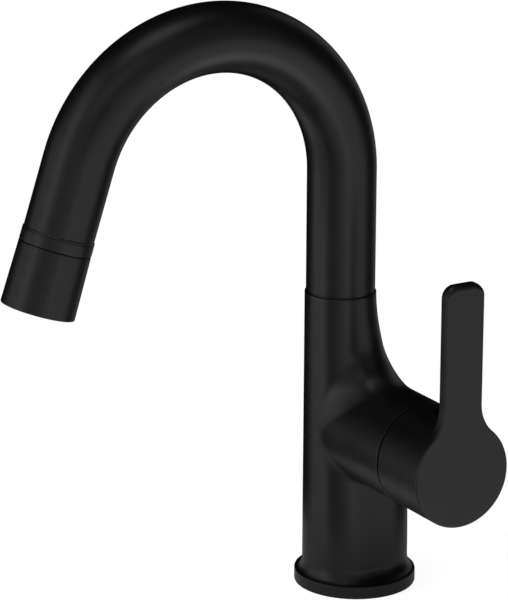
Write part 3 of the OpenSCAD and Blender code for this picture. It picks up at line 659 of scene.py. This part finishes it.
# White lacquer: smooth and pale. The camera sees it lifted to the white of the room, with the tap's
# shadow on it, and the tap's gloss sees a fifth of that lift, so that the foot's rim stays dark.
white, tree = start("white lacquered table")
sight = add(tree, "LightPath")
lit = add(tree, "BsdfDiffuse", {"Color": linear("#e8e8e8")})
glimpse = add(tree, "Math", {"operation": "MULTIPLY", 1: 0.2}, _0=sight.outputs["Is Glossy Ray"])
seen = add(tree, "Math", {"operation": "MAXIMUM"}, _0=sight.outputs["Is Camera Ray"],
           _1=glimpse.outputs[0])
seen = add(tree, "Math", {"operation": "MAXIMUM"}, _0=seen.outputs[0],
           _1=sight.outputs["Is Transmission Ray"])
lift = add(tree, "Math", {"operation": "MULTIPLY", 1: 0.9}, _0=seen.outputs[0])
own = add(tree, "Emission", {"Color": (1, 1, 1, 1)}, Strength=lift.outputs[0])
both = add(tree, "AddShader", _0=lit.outputs[0], _1=own.outputs[0])
add(tree, "OutputMaterial", Surface=both.outputs[0])
table.data.materials.append(white)

# Black drapes: cotton cloth, dyed black, on the six sides of a box of 5.2 m. Cotton is quite dull,
# so the tap mirrors it as plain dark between the softboxes.
hang = (-2.6, 2.6)
drape = mesh_object("drape", [(x, y, z) for z in hang for y in hang for x in hang],
                    [(0, 1, 3, 2), (4, 5, 7, 6), (0, 1, 5, 4), (2, 3, 7, 6), (0, 2, 6, 4),
                     (1, 3, 7, 5)], unit=1)
drape.visible_camera = drape.visible_transmission = False
black_cloth, tree = start("black cotton drape")
cloth = add(tree, "BsdfDiffuse", {"Color": linear("#202020"), "Roughness": 1})
add(tree, "OutputMaterial", Surface=cloth.outputs[0])
drape.data.materials.append(black_cloth)

# Camera: a long lens, 1.5 m from the tap and 17 degrees above the level. Its place and its three
# directions are matched to the photograph's view.
camera_data = bpy.data.cameras.new("camera")
camera_data.lens, camera_data.sensor_width = 217.4, 36
camera_data.clip_start, camera_data.clip_end = 0.05, 20
camera = bpy.data.objects.new("camera", camera_data)
bpy.context.scene.collection.objects.link(camera)
right = Vector((0.50856778, 0.86101229, 0.00408014))
up = Vector((-0.25626246, 0.14683729, 0.95538912))
behind = Vector((0.82200265, -0.48692571, 0.29532184))
camera.matrix_world = Matrix.Translation((1.185958, -0.751478, 0.554029)) @ Matrix(
    (right, up, behind)).transposed().to_4x4()
bpy.context.scene.camera = camera

# Softboxes: flat lit panels behind plain white cloth. Each is width by tall metres and hangs 1.5 m
# from the tap, turn degrees right of the camera and rise degrees above the level.
flat_view = Vector((behind.x, behind.y, 0)).normalized()
flat_right = Vector((0, 0, 1)).cross(flat_view)


def softbox(name, turn, rise, width, tall, bright):
    a, e = math.radians(turn), math.radians(rise)
    level_way = flat_view * math.cos(a) + flat_right * math.sin(a)
    way = level_way * math.cos(e) + Vector((0, 0, math.sin(e)))
    data = bpy.data.lights.new(name, "AREA")
    data.shape, data.size, data.size_y = "RECTANGLE", width, tall
    data.energy = bright * math.pi * width * tall
    lamp = bpy.data.objects.new(name, data)
    bpy.context.scene.collection.objects.link(lamp)
    lamp.location = way * 1.5 + Vector((0, -0.05, 0.13))
    lamp.rotation_mode = "QUATERNION"
    lamp.rotation_quaternion = way.to_track_quat("Z", "Y")
    lamp.visible_camera = False


softbox("low right panel", 60, -48, 1.3, 0.55, 1.7)
softbox("low right rear panel", 110, -48, 1.0, 0.55, 0.9)
softbox("low front panel", 5, -42, 1.2, 0.55, 0.65)
softbox("low left rear panel", -120, -48, 1.0, 0.55, 0.35)
softbox("front right panel", 50, -17, 2.2, 1.1, 0.6)
softbox("right strip", 25, -5, 0.4, 1.6, 0.3)
softbox("high right panel", 50, 25, 1.1, 1.2, 0.2)
softbox("front square", 5, -8, 0.8, 0.9, 0.4)
softbox("front left panel", -25, 0, 1.4, 0.9, 0.27)
softbox("high left panel", -30, 30, 1.6, 0.9, 0.25)
softbox("high front panel", 5, 42, 1.0, 0.5, 0.55)
softbox("high side panel", -70, 42, 1.0, 0.7, 0.55)
softbox("left strip", -58, 8, 0.45, 1.8, 0.75)
softbox("left panel", -80, 3, 1.6, 1.1, 0.43)
softbox("low left panel", -80, -27, 1.5, 1.7, 0.45)
softbox("rear right strip", 145, -6, 0.7, 2.6, 0.27)
softbox("top panel", 0, 80, 0.9, 0.6, 1.3)

# White room: plain white all round, which the camera sees behind the tap. The drapes keep its
# light off the coating.
world = bpy.data.worlds.new("white room")
bpy.context.scene.world = world
world.use_nodes = True
world.node_tree.nodes.clear()
room = add(world.node_tree, "Background", {"Color": (1, 1, 1, 1), "Strength": 1})
add(world.node_tree, "OutputWorld", Surface=room.outputs[0])

bpy.context.scene.view_settings.view_transform = "Standard"
